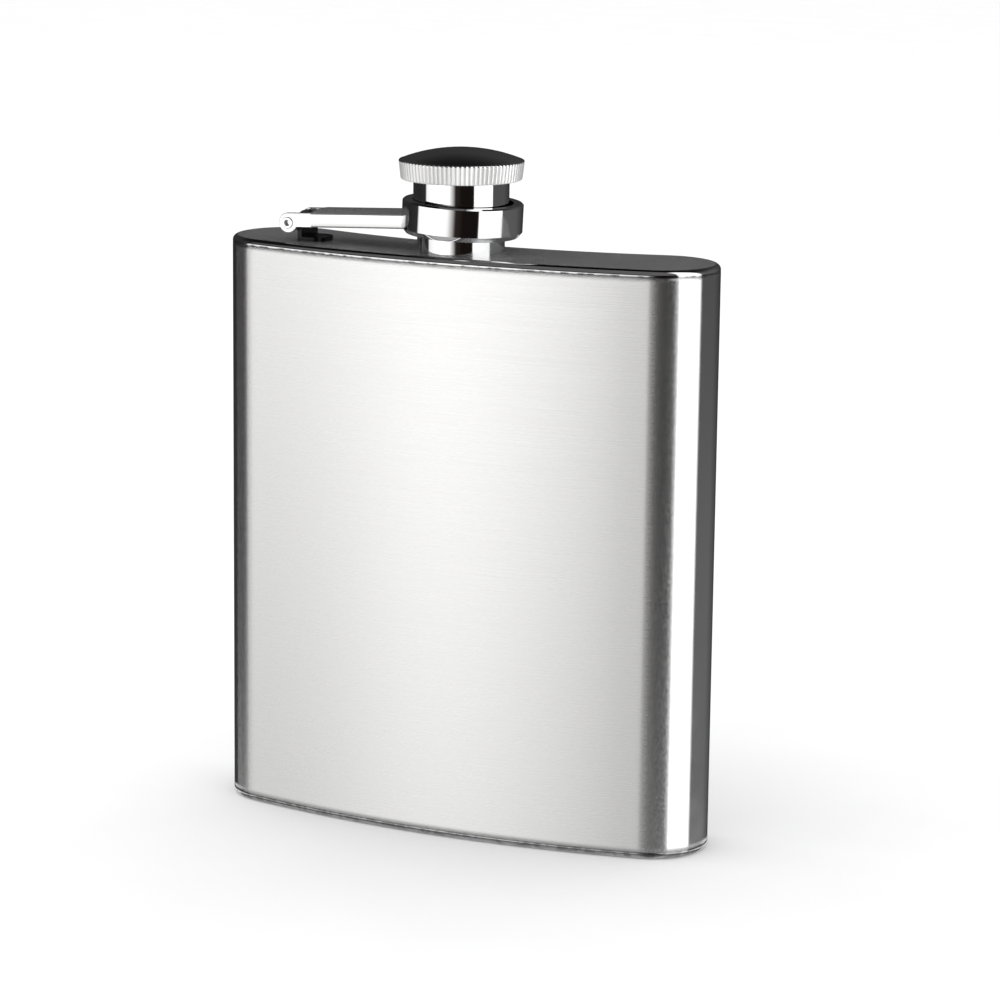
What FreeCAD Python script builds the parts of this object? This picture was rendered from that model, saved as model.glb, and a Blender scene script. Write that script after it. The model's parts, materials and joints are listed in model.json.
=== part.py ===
import FreeCAD, Part
import math
import os
import Sketcher
from FreeCAD import Placement, Rotation, Vector

# Stainless hip flask: a curved welded body with a threaded neck, and a screw cap that a
# hinged arm and a loose ring keep on the flask.
# Frame: +X along the width (hinge at -X), -Y is the convex front, +Z up.
# Origin: centre of the underside. Millimetres.

DIMS = {
    # body
    "body_width": 94.0,
    "body_height": 104.8,
    "front_radius": 180.0,
    "back_radius": 122.0,
    "end_radius": 10.4,
    "wall": 0.6,
    "edge_radius": 1.05,
    "plate_thickness": 0.7,
    "plate_depth": 1.25,
    "seam_chamfer": 0.1,
    # neck, measured up from the top of the body
    "neck_y": -2.2,
    "collar_radius": 7.76,
    "collar_top": 3.4,
    "neck_radius": 6.7,
    "neck_bore": 6.1,
    "neck_top": 11.2,
    "neck_lip": 0.25,
    "flange_radius": 8.7,
    "flange_thickness": 0.6,
    "thread_depth": 0.45,
    "thread_width": 1.1,
    "thread_flat": 0.4,
    "thread_root": 0.1,
    "thread_pitch": 2.2,
    "thread_rise": 3.3,
    "neck_thread_start": 5.4,
    # hinge, measured from the neck's axis and the top of the body
    "pin_x": -32.3,
    "pin_rise": 3.3,
    "pin_radius": 0.75,
    "pin_running_gap": 0.05,
    "pin_head_radius": 1.05,
    "pin_head": 0.2,
    "pin_head_edge": 0.1,
    "pin_dimple_radius": 0.6,
    "pin_dimple": 0.7,
    "lug_thickness": 0.9,
    "lug_outside": 3.1,
    "lug_radius": 1.6,
    "lug_left": 1.2,
    "lug_right": 2.0,
    "foot_thickness": 0.7,
    "foot_right": 5.9,
    "foot_corner": 1.9,
    # captive arm, measured from the pin
    "arm_outside": 4.6,
    "arm_sheet": 0.7,
    "arm_rise_angle": 3.0,
    "ear_radius": 1.8,
    "flange_drop": 0.8,
    "web_start": 4.7,
    "arm_reach": 30.0,
    # captive ring
    "ring_offset": 0.25,
    "ring_middle": 5.95,
    "ring_tilt": 2.5,
    "ring_height": 5.9,
    "ring_radius": 10.7,
    "ring_bevel": 0.75,
    "ring_bevel_height": 0.9,
    "ring_edge": 0.25,
    "ring_bore": 8.95,
    "ring_counterbore": 9.75,
    "ring_lip": 0.8,
    # cap
    "head_radius": 11.12,
    "rim_bottom": 12.73,
    "rim_top": 16.19,
    "rim_edge": 0.3,
    "rim_taper": 0.36,
    "dome_top": 18.24,
    "head_wall": 0.7,
    "knurl_depth": 0.25,
    "knurl_overcut": 0.3,
    "knurl_half_angle": 52.0,
    "sleeve_radius": 8.48,
    "sleeve_bore": 8.1,
    "sleeve_bottom": 3.6,
    "sleeve_roof": 12.5,
    "sleeve_top": 13.4,
    "lip_radius": 9.3,
    "lip_height": 0.7,
    "cap_thread_depth": 0.3,
    "cap_thread_start": 5.0,
    "seal_radius": 7.5,
    "seal_gap": 0.05,
    "seal_recess": 5.0,
    "seal_recess_depth": 0.4,
    "seal_bevel": 0.2,
    # how far a cutting shape stands past the solid that it cuts
    "cut_margin": 1.0,
}
KNURL_TEETH = 80
FUZZ = 1e-5


def number(expression):
    """Value of a sum such as "neck_top - neck_lip" or "body_width/2", read from DIMS."""
    total, sign = 0.0, 1.0
    for word in expression.split():
        if word in ("+", "-"):
            sign = -1.0 if word == "-" else 1.0
            continue
        name, _, divisor = word.partition("/")
        factor = -1.0 if name.startswith("-") else 1.0
        name = name.lstrip("-")
        value = DIMS[name] if name in DIMS else float(name)
        total += sign * factor * value / float(divisor or 1)
        sign = 1.0
    return total


def bound(expression):
    """The same sum as a document expression that reads the sheet."""
    words = []
    for word in expression.split():
        name = word.lstrip("-").partition("/")[0]
        if name in DIMS:
            word = word.replace(name, "dims." + name)
        words.append(word)
    return " ".join(words)


def make_sheet(doc):
    sheet = doc.addObject("Spreadsheet::Sheet", "dims")
    for row, (alias, value) in enumerate(DIMS.items(), start=1):
        sheet.set("A%d" % row, alias)
        sheet.set("B%d" % row, str(value))
        sheet.setAlias("B%d" % row, alias)
    doc.recompute()
    return sheet


def new_body(doc, label, x="0", y="0", z="0"):
    body = doc.addObject("PartDesign::Body", label)
    body.Label = label
    body.Placement = Placement(Vector(number(x), number(y), number(z)), Rotation())
    for axis, expression in zip("xyz", (x, y, z)):
        body.setExpression("Placement.Base." + axis, bound(expression))
    return body


def new_sketch(body, name, role, offset=None):
    sketch = body.newObject("Sketcher::SketchObject", name)
    plane = [f for f in body.Origin.OriginFeatures if f.Role == role][0]
    sketch.AttachmentSupport = [(plane, "")]
    sketch.MapMode = "FlatFace"
    if offset is not None:
        sketch.setExpression("AttachmentOffset.Base.z", bound(offset))
    return sketch


def pin_down(sketch, kind, args, expression):
    """Add a driving dimension and bind it to the sheet."""
    index = sketch.addConstraint(Sketcher.Constraint(kind, *args, number(expression)))
    sketch.setExpression("Constraints[%d]" % index, bound(expression))


def polygon(sketch, corners):
    """Closed outline of straight lines; corners are pairs of sums of sheet values."""
    points = [Vector(number(x), number(y), 0) for x, y in corners]
    count = len(points)
    for i in range(count):
        sketch.addGeometry(Part.LineSegment(points[i], points[(i + 1) % count]), False)
    for i in range(count):
        sketch.addConstraint(Sketcher.Constraint("Coincident", i, 2, (i + 1) % count, 1))
        pin_down(sketch, "DistanceX", (-1, 1, i, 1), corners[i][0])
        pin_down(sketch, "DistanceY", (-1, 1, i, 1), corners[i][1])


def circle(sketch, x, y, radius):
    centre = Vector(number(x), number(y), 0)
    i = sketch.addGeometry(Part.Circle(centre, Vector(0, 0, 1), number(radius)), False)
    pin_down(sketch, "DistanceX", (-1, 1, i, 3), x)
    pin_down(sketch, "DistanceY", (-1, 1, i, 3), y)
    pin_down(sketch, "Radius", (i,), radius)


def revolve(body, name, corners):
    """Turn a profile given as (radius, height) corners round the body's own Z axis."""
    sketch = new_sketch(body, name + "_profile", "XZ_Plane")
    polygon(sketch, corners)
    turned = body.newObject("PartDesign::Revolution", name)
    turned.Profile = sketch
    turned.ReferenceAxis = (sketch, ["V_Axis"])
    turned.Angle = 360
    sketch.Visibility = False
    return turned


def pad(body, name, sketch, length, both_sides=False):
    feature = body.newObject("PartDesign::Pad", name)
    feature.Profile = sketch
    feature.setExpression("Length", bound(length))
    if both_sides:
        feature.SideType = "Symmetric"
    return feature


def pocket(body, name, sketch, length, both_sides=False, upward=False):
    """Cut a pocket and stop if it removes nothing."""
    body.Document.recompute()
    before = body.Shape.Volume
    feature = body.newObject("PartDesign::Pocket", name)
    feature.Profile = sketch
    feature.setExpression("Length", bound(length))
    feature.Reversed = upward
    if both_sides:
        feature.SideType = "Symmetric"
    body.Document.recompute()
    if body.Shape.Volume > before - FUZZ:
        raise RuntimeError(name + " cuts nothing")
    return feature


def thread(body, name, corners):
    """Helical ridge: a profile in (radius, height) carried round the body's Z axis."""
    sketch = new_sketch(body, name + "_profile", "XZ_Plane")
    polygon(sketch, corners)
    ridge = body.newObject("PartDesign::AdditiveHelix", name)
    ridge.Profile = sketch
    ridge.ReferenceAxis = (sketch, ["V_Axis"])
    ridge.Mode = 0
    ridge.setExpression("Pitch", bound("thread_pitch"))
    ridge.setExpression("Height", bound("thread_rise"))
    return ridge


def edges_where(shape, test):
    return ["Edge%d" % (i + 1) for i, edge in enumerate(shape.Edges) if test(edge.BoundBox)]


def flat_at(height):
    """Test for an edge that lies level at one height."""
    return lambda box: abs(box.ZMin - height) < FUZZ and abs(box.ZMax - height) < FUZZ


# ---- body ----------------------------------------------------------------------------

def outline_centres():
    """Arc centres of the plan outline: y of the front arc, the ends and the back arc."""
    front, back = DIMS["front_radius"], DIMS["back_radius"]
    end, half = DIMS["end_radius"], DIMS["body_width"] / 2
    end_x = half - end
    end_below_front = math.sqrt((front - end) ** 2 - end_x ** 2)
    depth = front - end_below_front + end
    front_y = front - depth / 2
    end_y = front_y - end_below_front
    back_y = end_y + math.sqrt((back + end) ** 2 - end_x ** 2)
    return front_y, end_x, end_y, back_y


FRONT_CENTRE = (
    "dims.front_radius - (dims.front_radius + dims.end_radius"
    " - sqrt((dims.front_radius - dims.end_radius)^2"
    " - (dims.body_width/2 - dims.end_radius)^2)) / 2"
)


def outline(sketch, inset):
    """Kidney outline of four tangent arcs: convex front, round ends and concave back."""
    front_y, end_x, end_y, back_y = outline_centres()
    gap = number(inset)
    front, back = DIMS["front_radius"] - gap, DIMS["back_radius"] + gap
    end = DIMS["end_radius"] - gap
    up = Vector(0, 0, 1)
    lean_front = math.asin(end_x / (DIMS["front_radius"] - DIMS["end_radius"]))
    lean_back = math.asin(end_x / (DIMS["back_radius"] + DIMS["end_radius"]))
    down = -math.pi / 2

    def arc(x, y, radius, start, stop):
        round_ = Part.Circle(Vector(x, y, 0), up, radius)
        return sketch.addGeometry(Part.ArcOfCircle(round_, start, stop), False)

    arc(0, front_y, front, down - lean_front, down + lean_front)
    arc(end_x, end_y, end, down + lean_front, math.pi / 2 + lean_back)
    arc(0, back_y, back, down - lean_back, down + lean_back)
    arc(-end_x, end_y, end, math.pi / 2 - lean_back, 1.5 * math.pi - lean_front)
    for joined in ((0, 2, 1, 1), (1, 2, 2, 2), (2, 1, 3, 1), (3, 2, 0, 1)):
        sketch.addConstraint(Sketcher.Constraint("Tangent", *joined))
    for arc_on_axis in (0, 2):
        sketch.addConstraint(Sketcher.Constraint("PointOnObject", arc_on_axis, 3, -2))
    sketch.addConstraint(Sketcher.Constraint("Horizontal", 1, 3, 3, 3))
    pin_down(sketch, "DistanceX", (3, 3, 1, 3), "body_width - end_radius - end_radius")
    pin_down(sketch, "Radius", (0,), "front_radius - " + inset)
    pin_down(sketch, "Radius", (1,), "end_radius - " + inset)
    pin_down(sketch, "Radius", (2,), "back_radius + " + inset)
    index = sketch.addConstraint(Sketcher.Constraint("DistanceY", -1, 1, 0, 3, front_y))
    sketch.setExpression("Constraints[%d]" % index, FRONT_CENTRE)


def body_shell(doc):
    """Sheet wrapped into an oval tube; a pressed plate is welded on at each open end."""
    body = new_body(doc, "body_shell", z="plate_depth")
    outside = new_sketch(body, "shell_outside", "XY_Plane")
    outline(outside, "0")
    block = pad(body, "shell_block", outside, "body_height - plate_depth - plate_depth")
    break_seam(body, block, ("0", "body_height - plate_depth - plate_depth"))
    inside = new_sketch(body, "shell_inside", "XY_Plane", "body_height - plate_depth")
    outline(inside, "wall")
    pocket(body, "shell_cavity", inside, "body_height")
    return body


def break_seam(body, block, heights):
    """Bevel the outer edges at the given heights, which leaves a fine groove at the weld."""
    body.Document.recompute()
    ends = [flat_at(number(height)) for height in heights]
    bevel = body.newObject("PartDesign::Chamfer", body.Name + "_seam")
    bevel.Base = (block, edges_where(block.Shape, lambda box: any(end(box) for end in ends)))
    bevel.setExpression("Size", bound("seam_chamfer"))
    return bevel


def end_plate(doc, label, bottom, outer, rim):
    """Shallow pressed dish: flat face, rounded edge and a short skirt the size of the shell.

    outer and rim are the heights of the flat face and of the open side above bottom.
    """
    body = new_body(doc, label, z=bottom)
    sketch = new_sketch(body, label + "_outline", "XY_Plane")
    outline(sketch, "0")
    block = pad(body, label + "_block", sketch, "plate_depth")
    doc.recompute()
    rounded = body.newObject("PartDesign::Fillet", label + "_edge")
    rounded.Base = (block, edges_where(block.Shape, flat_at(number(outer))))
    rounded.setExpression("Radius", bound("edge_radius"))
    break_seam(body, rounded, (rim,))
    hollow = new_sketch(body, label + "_inside", "XY_Plane", rim)
    outline(hollow, "wall")
    opens_down = number(rim) < number(outer)
    pocket(body, label + "_dish", hollow, "plate_depth - plate_thickness", upward=opens_down)
    return body


def top_plate(doc):
    body = end_plate(doc, "top_plate", "body_height - plate_depth", "plate_depth", "0")
    hole = new_sketch(body, "neck_hole", "XY_Plane", "plate_depth")
    circle(hole, "0", "neck_y", "collar_radius")
    pocket(body, "neck_hole_cut", hole, "plate_depth")
    return body


def base_plate(doc):
    return end_plate(doc, "base_plate", "0", "0", "plate_depth")


def neck(doc):
    """Turned neck: flange under the plate, plain collar above it, then the thread."""
    body = new_body(doc, "neck", y="neck_y", z="body_height")
    revolve(body, "neck_tube", [
        ("neck_bore", "-plate_thickness - flange_thickness"),
        ("flange_radius", "-plate_thickness - flange_thickness"),
        ("flange_radius", "-plate_thickness"),
        ("collar_radius", "-plate_thickness"),
        ("collar_radius", "collar_top - neck_lip"),
        ("collar_radius - neck_lip", "collar_top"),
        ("neck_radius", "collar_top"),
        ("neck_radius", "neck_top - neck_lip"),
        ("neck_radius - neck_lip", "neck_top"),
        ("neck_bore", "neck_top"),
    ])
    thread(body, "neck_thread", [
        ("neck_radius - thread_root", "neck_thread_start - thread_width/2"),
        ("neck_radius + thread_depth", "neck_thread_start - thread_flat/2"),
        ("neck_radius + thread_depth", "neck_thread_start + thread_flat/2"),
        ("neck_radius - thread_root", "neck_thread_start + thread_width/2"),
    ])
    return body


# ---- hinge ---------------------------------------------------------------------------

def hinge_bracket(doc):
    """Stamping with a round-ended foot and an upright channel whose sides carry the pin."""
    body = new_body(doc, "hinge_bracket", x="pin_x", y="neck_y", z="body_height")
    foot = new_sketch(body, "foot_outline", "XY_Plane")
    polygon(foot, [
        ("lug_left", "-lug_outside"),
        ("foot_right", "-lug_outside"),
        ("foot_right", "lug_outside"),
        ("lug_left", "lug_outside"),
    ])
    slab = pad(body, "foot", foot, "foot_thickness")
    doc.recompute()
    tip, upright = number("foot_right") - FUZZ, number("foot_thickness") - FUZZ
    corners = edges_where(slab.Shape, lambda box: box.XMin > tip and box.ZLength > upright)
    corner = body.newObject("PartDesign::Fillet", "foot_corners")
    corner.Base = (slab, corners)
    corner.setExpression("Radius", bound("foot_corner"))
    stem = new_sketch(body, "lug_stem", "XZ_Plane")
    polygon(stem, [
        ("lug_left", "0"),
        ("lug_right", "0"),
        ("lug_right", "pin_rise"),
        ("lug_left", "pin_rise + lug_radius/2"),
    ])
    pad(body, "lugs", stem, "lug_outside + lug_outside", both_sides=True)
    eye = new_sketch(body, "lug_eye", "XZ_Plane")
    circle(eye, "0", "pin_rise", "lug_radius")
    pad(body, "eyes", eye, "lug_outside + lug_outside", both_sides=True)
    channel = new_sketch(body, "lug_gap_side", "XZ_Plane")
    polygon(channel, [
        ("-lug_radius - cut_margin", "foot_thickness"),
        ("lug_right - lug_thickness", "foot_thickness"),
        ("lug_right - lug_thickness", "pin_rise + lug_radius + cut_margin"),
        ("-lug_radius - cut_margin", "pin_rise + lug_radius + cut_margin"),
    ])
    gap = "lug_outside + lug_outside - lug_thickness - lug_thickness"
    pocket(body, "lug_gap", channel, gap, both_sides=True)
    hole = new_sketch(body, "pin_hole", "XZ_Plane")
    circle(hole, "0", "pin_rise", "pin_radius")
    pocket(body, "pin_hole_cut", hole, "lug_outside + lug_outside", both_sides=True)
    return body


def hinge_pin(doc):
    """Tubular rivet with a head outside each ear; modelled upright and laid along Y."""
    body = new_body(doc, "hinge_pin", x="pin_x", y="neck_y", z="body_height + pin_rise")
    body.Placement.Rotation = Rotation(Vector(1, 0, 0), 90)
    head_in = "arm_outside + pin_running_gap"
    head_out = head_in + " + pin_head"
    half = [
        ("pin_radius", head_in),
        ("pin_head_radius", head_in),
        ("pin_head_radius", head_out + " - pin_head_edge"),
        ("pin_head_radius - pin_head_edge", head_out),
        ("pin_dimple_radius", head_out),
        ("pin_dimple_radius - pin_head_edge", head_out + " - pin_dimple"),
        ("0", head_out + " - pin_dimple"),
    ]
    lower = [(x, negative(y)) for x, y in reversed(half)]
    revolve(body, "rivet", lower + half)
    return body


def negative(expression):
    """The same sum with every sign turned round."""
    words = expression.split()
    swap = {"+": "-", "-": "+"}
    return "-" + " ".join(swap.get(word, word) for word in words)


# ---- captive arm and ring ------------------------------------------------------------

def captive_arm(doc):
    """Stamped channel: a web on top, two side flanges and a round ear on each at the pin."""
    blank = new_body(doc, "arm_blank", x="pin_x", y="neck_y", z="body_height + pin_rise")
    blank.Placement.Rotation = Rotation(Vector(0, -1, 0), DIMS["arm_rise_angle"])
    blank.setExpression("Placement.Rotation.Angle", "dims.arm_rise_angle")
    side = new_sketch(blank, "arm_side", "XZ_Plane")
    arm_outline(side)
    pad(blank, "arm_block", side, "arm_outside + arm_outside", both_sides=True)
    inner_width = "arm_outside + arm_outside - arm_sheet - arm_sheet"
    under = new_sketch(blank, "arm_under_web", "XZ_Plane")
    polygon(under, [
        ("-ear_radius - cut_margin", "-ear_radius - cut_margin"),
        ("arm_reach + cut_margin", "-ear_radius - cut_margin"),
        ("arm_reach + cut_margin", "ear_radius - arm_sheet"),
        ("web_start", "ear_radius - arm_sheet"),
        ("web_start", "ear_radius + cut_margin"),
        ("-ear_radius - cut_margin", "ear_radius + cut_margin"),
    ])
    pocket(blank, "arm_channel", under, inner_width, both_sides=True)
    hole = new_sketch(blank, "ear_hole", "XZ_Plane")
    circle(hole, "0", "0", "pin_radius + pin_running_gap")
    pocket(blank, "ear_holes", hole, "arm_outside + arm_outside", both_sides=True)
    doc.recompute()
    ring_space = doc.addObject("Part::Cylinder", "ring_space")
    ring_space.setExpression("Radius", bound("ring_radius"))
    ring_space.setExpression("Height", bound("ring_height"))
    ring_space.Placement.Rotation = Rotation(Vector(0, 1, 0), DIMS["ring_tilt"])
    ring_space.setExpression("Placement.Rotation.Angle", bound("ring_tilt"))
    foot_x = "dims.ring_offset - dims.ring_height / 2 * sin(dims.ring_tilt)"
    foot_z = "dims.body_height + dims.ring_middle - dims.ring_height / 2 * cos(dims.ring_tilt)"
    ring_space.setExpression("Placement.Base.x", foot_x)
    ring_space.setExpression("Placement.Base.y", bound("neck_y"))
    ring_space.setExpression("Placement.Base.z", foot_z)
    arm = doc.addObject("Part::Cut", "captive_arm")
    arm.Label = "captive_arm"
    arm.Base = blank
    arm.Tool = ring_space
    return arm


def arm_outline(sketch):
    """Arm seen from the front: a round ear whose top runs straight into the web."""
    radius, drop, reach = DIMS["ear_radius"], DIMS["flange_drop"], DIMS["arm_reach"]
    leave = -math.asin(drop / radius)
    on_ear = Vector(radius * math.cos(leave), -drop, 0)
    top, low_right = Vector(0, radius, 0), Vector(reach, -drop, 0)
    high_right = Vector(reach, radius, 0)
    round_ = Part.Circle(Vector(), Vector(0, 0, 1), radius)
    sketch.addGeometry(Part.ArcOfCircle(round_, math.pi / 2, 2 * math.pi + leave), False)
    sketch.addGeometry(Part.LineSegment(on_ear, low_right), False)
    sketch.addGeometry(Part.LineSegment(low_right, high_right), False)
    sketch.addGeometry(Part.LineSegment(high_right, top), False)
    sketch.addConstraint(Sketcher.Constraint("Coincident", 0, 2, 1, 1))
    sketch.addConstraint(Sketcher.Constraint("Coincident", 1, 2, 2, 1))
    sketch.addConstraint(Sketcher.Constraint("Coincident", 2, 2, 3, 1))
    sketch.addConstraint(Sketcher.Constraint("Tangent", 3, 2, 0, 1))
    sketch.addConstraint(Sketcher.Constraint("Coincident", 0, 3, -1, 1))
    sketch.addConstraint(Sketcher.Constraint("Horizontal", 1))
    sketch.addConstraint(Sketcher.Constraint("Horizontal", 3))
    sketch.addConstraint(Sketcher.Constraint("Vertical", 2))
    pin_down(sketch, "Radius", (0,), "ear_radius")
    pin_down(sketch, "DistanceX", (-1, 1, 2, 1), "arm_reach")
    pin_down(sketch, "DistanceY", (-1, 1, 2, 1), "-flange_drop")


def captive_ring(doc):
    """Loose collar, leaning a little, with a shoulder that the sleeve's lip catches under."""
    body = new_body(doc, "captive_ring", x="ring_offset", y="neck_y",
                    z="body_height + ring_middle")
    body.Placement.Rotation = Rotation(Vector(0, 1, 0), DIMS["ring_tilt"])
    body.setExpression("Placement.Rotation.Angle", bound("ring_tilt"))
    revolve(body, "ring", [
        ("ring_counterbore", "-ring_height/2"),
        ("ring_radius - ring_bevel", "-ring_height/2"),
        ("ring_radius", "-ring_height/2 + ring_bevel_height"),
        ("ring_radius", "ring_height/2 - ring_edge"),
        ("ring_radius - ring_edge", "ring_height/2"),
        ("ring_bore", "ring_height/2"),
        ("ring_bore", "ring_height/2 - ring_lip"),
        ("ring_counterbore", "ring_height/2 - ring_lip"),
    ])
    return body


# ---- cap -----------------------------------------------------------------------------

def dome(sketch, rim_point, top):
    """Add the arc of a shallow dome that runs from a rim point up to the axis."""
    sagitta = top - rim_point.y
    radius = (rim_point.x ** 2 + sagitta ** 2) / (2 * sagitta)
    centre = Vector(0, top - radius, 0)
    angle = math.atan2(rim_point.y - centre.y, rim_point.x)
    round_ = Part.Circle(centre, Vector(0, 0, 1), radius)
    return sketch.addGeometry(Part.ArcOfCircle(round_, angle, math.pi / 2), False)


def cap_head(doc):
    """Drawn head: shallow dome, straight knurled rim, open underneath for the sleeve."""
    body = new_body(doc, "cap_head", y="neck_y", z="body_height")
    sketch = new_sketch(body, "head_profile", "XZ_Plane")
    head_outline(sketch)
    turned = body.newObject("PartDesign::Revolution", "head")
    turned.Profile = sketch
    turned.ReferenceAxis = (sketch, ["V_Axis"])
    turned.Angle = 360
    notch = new_sketch(body, "knurl_notch", "XY_Plane", "rim_top + cut_margin")
    knurl_notch(notch)
    cut = pocket(body, "knurl_cut", notch, "rim_top - rim_bottom + cut_margin + cut_margin")
    pattern = body.newObject("PartDesign::PolarPattern", "knurl")
    pattern.Originals = [cut]
    pattern.Axis = (sketch, ["V_Axis"])
    pattern.Angle = 360
    pattern.Occurrences = KNURL_TEETH
    body.Tip = pattern
    return body


def knurl_notch(sketch):
    """One V between two teeth, from its root out past the rim."""
    root = DIMS["head_radius"] - DIMS["knurl_depth"]
    out = DIMS["head_radius"] + DIMS["knurl_overcut"]
    half = (out - root) * math.tan(math.radians(DIMS["knurl_half_angle"]))
    corners = (Vector(root, 0, 0), Vector(out, -half, 0), Vector(out, half, 0))
    for i in range(3):
        sketch.addGeometry(Part.LineSegment(corners[i], corners[(i + 1) % 3]), False)
    for i in range(3):
        sketch.addConstraint(Sketcher.Constraint("Coincident", i, 2, (i + 1) % 3, 1))
    sketch.addConstraint(Sketcher.Constraint("PointOnObject", 0, 1, -1))
    sketch.addConstraint(Sketcher.Constraint("Symmetric", 0, 2, 1, 2, -1))
    pin_down(sketch, "DistanceX", (-1, 1, 0, 1), "head_radius - knurl_depth")
    pin_down(sketch, "DistanceX", (-1, 1, 1, 1), "head_radius + knurl_overcut")
    opening = sketch.addConstraint(Sketcher.Constraint("DistanceY", 1, 1, 1, 2, 2 * half))
    width = "2 * (dims.knurl_depth + dims.knurl_overcut) * tan(dims.knurl_half_angle)"
    sketch.setExpression("Constraints[%d]" % opening, width)


def head_outline(sketch):
    """Half section of the head: outer dome and rim, then the inner wall back to the axis."""
    rim, edge, thick = DIMS["head_radius"], DIMS["rim_edge"], DIMS["head_wall"]
    foot = rim - DIMS["rim_taper"]
    bottom, top, apex = DIMS["rim_bottom"], DIMS["rim_top"], DIMS["dome_top"]
    shoulder = Vector(rim - edge, top, 0)
    inner_corner = Vector(rim - edge - thick, top - thick, 0)
    outer = dome(sketch, shoulder, apex)
    inner = dome(sketch, inner_corner, apex - thick)
    path = [
        shoulder,
        Vector(rim, top - edge, 0),
        Vector(foot, bottom + edge, 0),
        Vector(foot - edge, bottom, 0),
        Vector(foot - edge - thick, bottom, 0),
        inner_corner,
    ]
    for start, stop in zip(path, path[1:]):
        sketch.addGeometry(Part.LineSegment(start, stop), False)
    sketch.addGeometry(Part.LineSegment(Vector(0, apex, 0), Vector(0, apex - thick, 0)), False)
    for i in range(2, 6):
        sketch.addConstraint(Sketcher.Constraint("Coincident", i, 2, i + 1, 1))
    sketch.addConstraint(Sketcher.Constraint("Coincident", outer, 1, 2, 1))
    sketch.addConstraint(Sketcher.Constraint("Coincident", inner, 1, 6, 2))
    sketch.addConstraint(Sketcher.Constraint("Coincident", outer, 2, 7, 1))
    sketch.addConstraint(Sketcher.Constraint("Coincident", inner, 2, 7, 2))
    for arc in (outer, inner):
        sketch.addConstraint(Sketcher.Constraint("PointOnObject", arc, 3, -2))
        sketch.addConstraint(Sketcher.Constraint("PointOnObject", arc, 2, -2))
    pin_down(sketch, "DistanceY", (-1, 1, 7, 1), "dome_top")
    pin_down(sketch, "DistanceY", (-1, 1, 7, 2), "dome_top - head_wall")
    corners = (
        (2, 1, "head_radius - rim_edge", "rim_top"),
        (3, 1, "head_radius", "rim_top - rim_edge"),
        (4, 1, "head_radius - rim_taper", "rim_bottom + rim_edge"),
        (5, 1, "head_radius - rim_taper - rim_edge", "rim_bottom"),
        (6, 1, "head_radius - rim_taper - rim_edge - head_wall", "rim_bottom"),
        (6, 2, "head_radius - rim_edge - head_wall", "rim_top - head_wall"),
    )
    for item, point, x, y in corners:
        pin_down(sketch, "DistanceX", (-1, 1, item, point), x)
        pin_down(sketch, "DistanceY", (-1, 1, item, point), y)


def cap_sleeve(doc):
    """Closed sleeve: disc inside the head, threaded wall, lip flared out under the ring."""
    body = new_body(doc, "cap_sleeve", y="neck_y", z="body_height")
    revolve(body, "sleeve", [
        ("0", "sleeve_roof"),
        ("sleeve_bore", "sleeve_roof"),
        ("sleeve_bore", "sleeve_bottom"),
        ("lip_radius", "sleeve_bottom"),
        ("lip_radius", "sleeve_bottom + lip_height"),
        ("sleeve_radius", "sleeve_bottom + lip_height"),
        ("sleeve_radius", "rim_bottom"),
        ("head_radius - rim_taper - rim_edge - head_wall", "rim_bottom"),
        ("head_radius - rim_taper - rim_edge - head_wall", "sleeve_top"),
        ("0", "sleeve_top"),
    ])
    thread(body, "sleeve_thread", [
        ("sleeve_bore + thread_root", "cap_thread_start - thread_width/2"),
        ("sleeve_bore + thread_root", "cap_thread_start + thread_width/2"),
        ("sleeve_bore - cap_thread_depth", "cap_thread_start + thread_flat/2"),
        ("sleeve_bore - cap_thread_depth", "cap_thread_start - thread_flat/2"),
    ])
    return body


def cap_seal(doc):
    """Sealing disc under the sleeve's roof, with a shallow recess over the neck's bore."""
    body = new_body(doc, "cap_seal", y="neck_y", z="body_height")
    bottom = "neck_top + seal_gap"
    revolve(body, "seal", [
        ("0", bottom + " + seal_recess_depth"),
        ("seal_recess", bottom + " + seal_recess_depth"),
        ("seal_recess + seal_bevel", bottom),
        ("seal_radius - seal_bevel", bottom),
        ("seal_radius", bottom + " + seal_bevel"),
        ("seal_radius", "sleeve_roof - seal_gap"),
        ("0", "sleeve_roof - seal_gap"),
    ])
    return body


# ---- write ---------------------------------------------------------------------------

def check(doc, subparts):
    doc.recompute()
    for item in doc.Objects:
        if "Invalid" in item.State or "Error" in item.State:
            raise RuntimeError("%s is %s" % (item.Name, item.State))
    for item in subparts:
        shape = item.Shape
        if shape.isNull() or not shape.isValid() or not shape.Solids:
            raise RuntimeError(item.Label + " has no valid solid")


def main():
    os.makedirs("parts", exist_ok=True)
    doc = FreeCAD.newDocument("hip_flask")
    make_sheet(doc)
    makers = (body_shell, top_plate, base_plate, neck, hinge_bracket, hinge_pin,
              captive_arm, captive_ring, cap_head, cap_sleeve, cap_seal)
    subparts = [maker(doc) for maker in makers]
    check(doc, subparts)
    for item in subparts:
        item.Shape.exportStep("parts/%s.step" % item.Label)
        box = item.Shape.BoundBox
        print("%-14s solids %d volume %8.1f  x %.2f..%.2f y %.2f..%.2f z %.2f..%.2f" % (
            item.Label, len(item.Shape.Solids), item.Shape.Volume,
            box.XMin, box.XMax, box.YMin, box.YMax, box.ZMin, box.ZMax))


main()
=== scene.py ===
import json
import math

import bmesh
import bpy
from mathutils import Matrix, Vector
from mathutils.geometry import tessellate_polygon


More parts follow.
